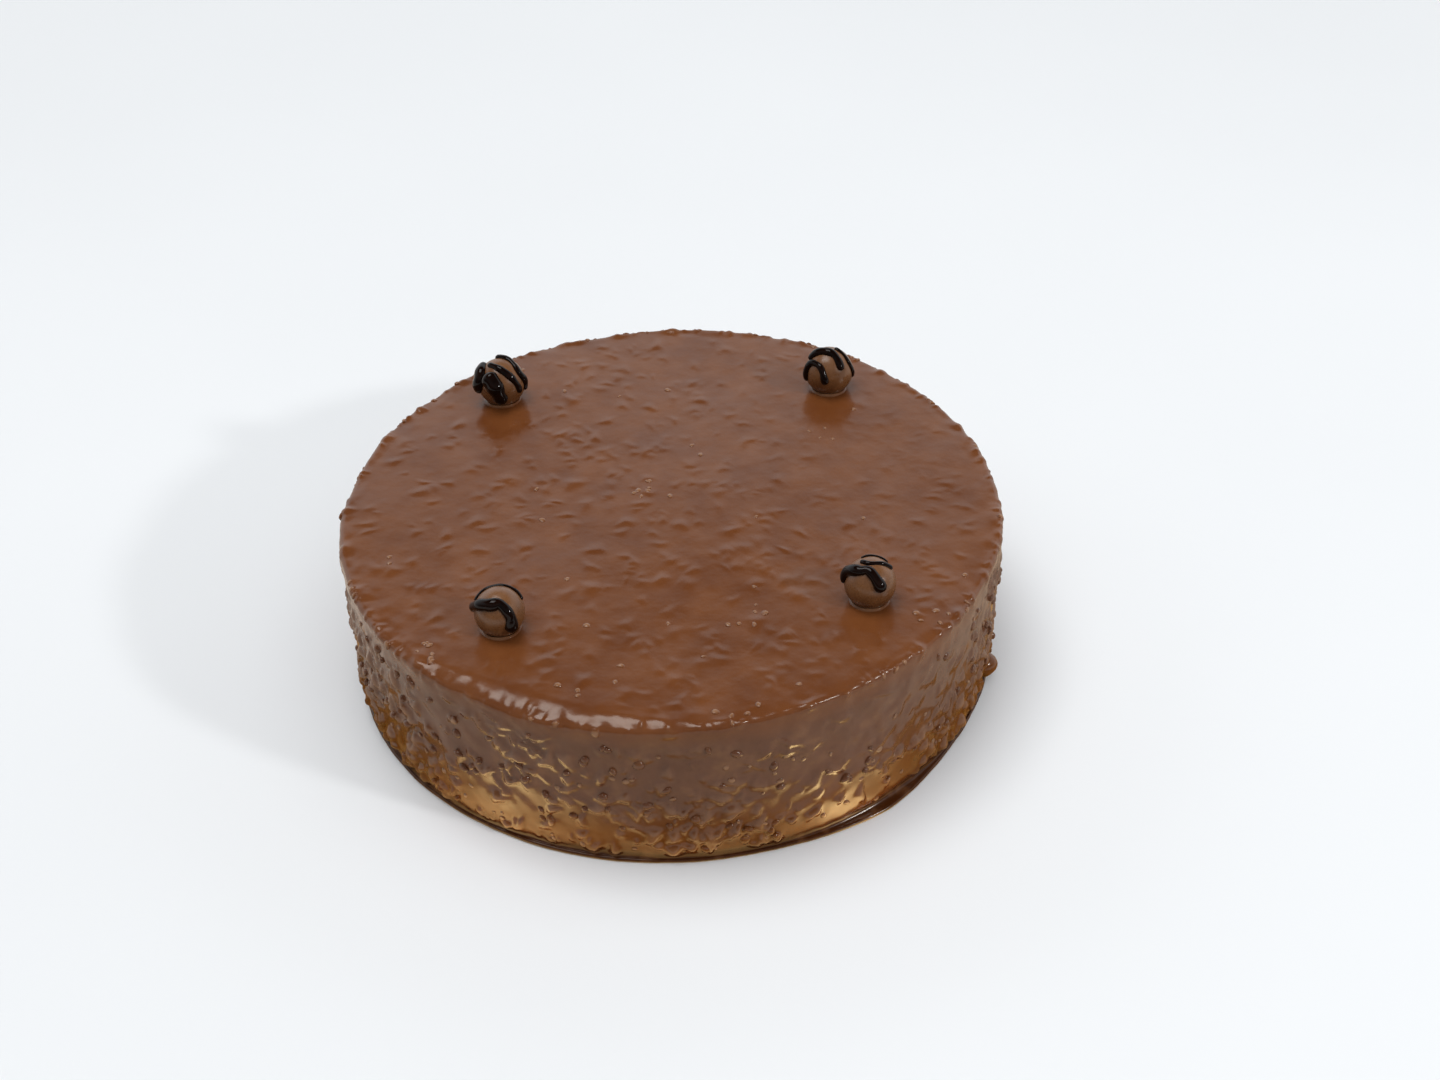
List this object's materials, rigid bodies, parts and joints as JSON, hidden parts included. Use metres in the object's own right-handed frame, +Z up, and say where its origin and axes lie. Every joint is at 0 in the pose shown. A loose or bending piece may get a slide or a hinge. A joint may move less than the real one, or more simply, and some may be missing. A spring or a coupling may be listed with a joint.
{
  "type": "chocolate hazelnut cake",
  "caption": "Round uncut cake under a glossy milk chocolate glaze lumpy with chopped nuts, topped with coated hazelnuts that carry strands of dark chocolate.",
  "frame": {"origin": "middle of the cake's flat underside", "axes": "+Z up out of the top, +X to the right of the front view, +Y to the back"},
  "size_m": [0.2464, 0.2454, 0.0829],
  "materials": {
    "milk_chocolate_glaze": "glossy poured milk chocolate glaze, thin over chopped nuts",
    "coated_hazelnut": "satin milk chocolate coat on a whole hazelnut",
    "dark_chocolate": "very glossy dark chocolate drizzle",
    "chopped_nut": "chopped roasted hazelnut that shows through the glaze"
  },
  "bodies": {
    "root": {"cake_body": "milk_chocolate_glaze", "hazelnut_back_left": "coated_hazelnut", "hazelnut_back_right": "coated_hazelnut", "hazelnut_front_left": "coated_hazelnut", "hazelnut_front_right": "coated_hazelnut"}
  },
  "joints": []
}
